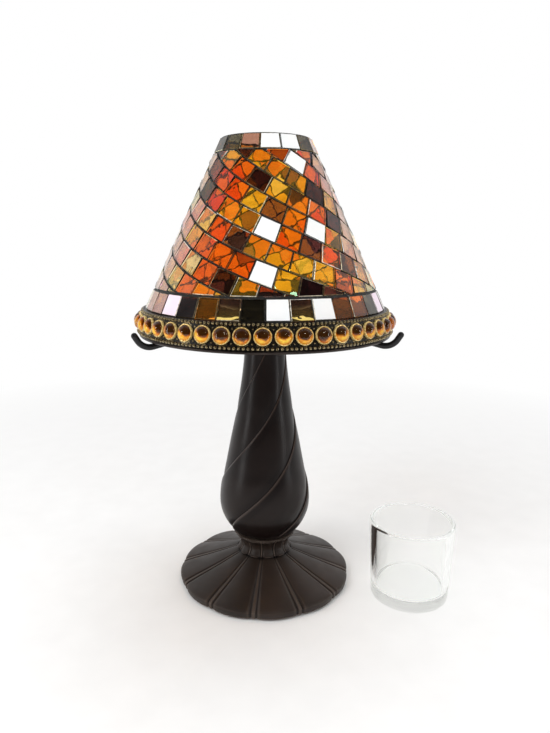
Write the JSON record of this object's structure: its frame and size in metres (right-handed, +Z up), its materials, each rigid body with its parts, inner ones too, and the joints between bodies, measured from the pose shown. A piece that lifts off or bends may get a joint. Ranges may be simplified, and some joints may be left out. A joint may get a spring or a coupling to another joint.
{
  "type": "candle lamp",
  "caption": "Candle lamp: a twisted leaf column on a scalloped foot, hooked arms that hold a jewelled mosaic glass cone shade, and a clear glass candle cup beside it.",
  "frame": {"origin": "centre of the foot's underside, on the surface that the lamp stands on", "axes": "+Z up along the lamp's axis, -Y towards the viewer of the picture, +X to the right, where the candle cup stands"},
  "size_m": [0.2491, 0.2086, 0.3492],
  "materials": {
    "bronze_cast": "cast resin with a satin dark bronze finish, worn lighter along its edges",
    "black_iron": "satin black",
    "steel": "zinc plated",
    "rim_metal": "satin dark bronze",
    "trim_metal": "antique bronze with rubbed gold edges",
    "clear_glass": "polished, clear",
    "mosaic_tiles": "amber, orange, brown and silvered glass tiles in black grout",
    "amber_stone": "glossy amber cabochon",
    "felt": "felt"
  },
  "bodies": {
    "base": {"foot_felt": "felt", "foot": "bronze_cast", "column": "bronze_cast", "tie_rod": "steel", "rod_nut": "steel", "hub": "black_iron", "arm_1": "black_iron", "arm_2": "black_iron", "arm_3": "black_iron", "cup_dish": "black_iron"},
    "shade": {"shade_glass": "clear_glass", "mosaic": "mosaic_tiles", "rim_channel": "rim_metal", "trim_strip": "trim_metal", "cabochon_01": "amber_stone", "cabochon_02": "amber_stone", "cabochon_03": "amber_stone", "cabochon_04": "amber_stone", "cabochon_05": "amber_stone", "cabochon_06": "amber_stone", "cabochon_07": "amber_stone", "cabochon_08": "amber_stone", "cabochon_09": "amber_stone", "cabochon_10": "amber_stone", "cabochon_11": "amber_stone", "cabochon_12": "amber_stone", "cabochon_13": "amber_stone", "cabochon_14": "amber_stone", "cabochon_15": "amber_stone", "cabochon_16": "amber_stone", "cabochon_17": "amber_stone", "cabochon_18": "amber_stone", "cabochon_19": "amber_stone", "cabochon_20": "amber_stone", "cabochon_21": "amber_stone", "cabochon_22": "amber_stone", "cabochon_23": "amber_stone", "cabochon_24": "amber_stone", "cabochon_25": "amber_stone", "cabochon_26": "amber_stone", "cabochon_27": "amber_stone", "cabochon_28": "amber_stone", "cabochon_29": "amber_stone", "cabochon_30": "amber_stone", "cabochon_31": "amber_stone", "cabochon_32": "amber_stone", "cabochon_33": "amber_stone", "cabochon_34": "amber_stone", "cabochon_35": "amber_stone", "cabochon_36": "amber_stone", "cabochon_37": "amber_stone", "cabochon_38": "amber_stone", "cabochon_39": "amber_stone", "cabochon_40": "amber_stone", "cabochon_41": "amber_stone", "cabochon_42": "amber_stone", "cabochon_43": "amber_stone", "cabochon_44": "amber_stone", "cabochon_45": "amber_stone"},
    "cup": {"candle_cup": "clear_glass"}
  },
  "joints": [
    {"name": "shade_lift", "type": "slide", "parent": "base", "child": "shade", "axis": [0, 0, 1], "range_m": [0, 0.12]},
    {"name": "cup_lift", "type": "slide", "parent": "base", "child": "cup", "axis": [0, 0, 1], "range_m": [0, 0.08]}
  ]
}
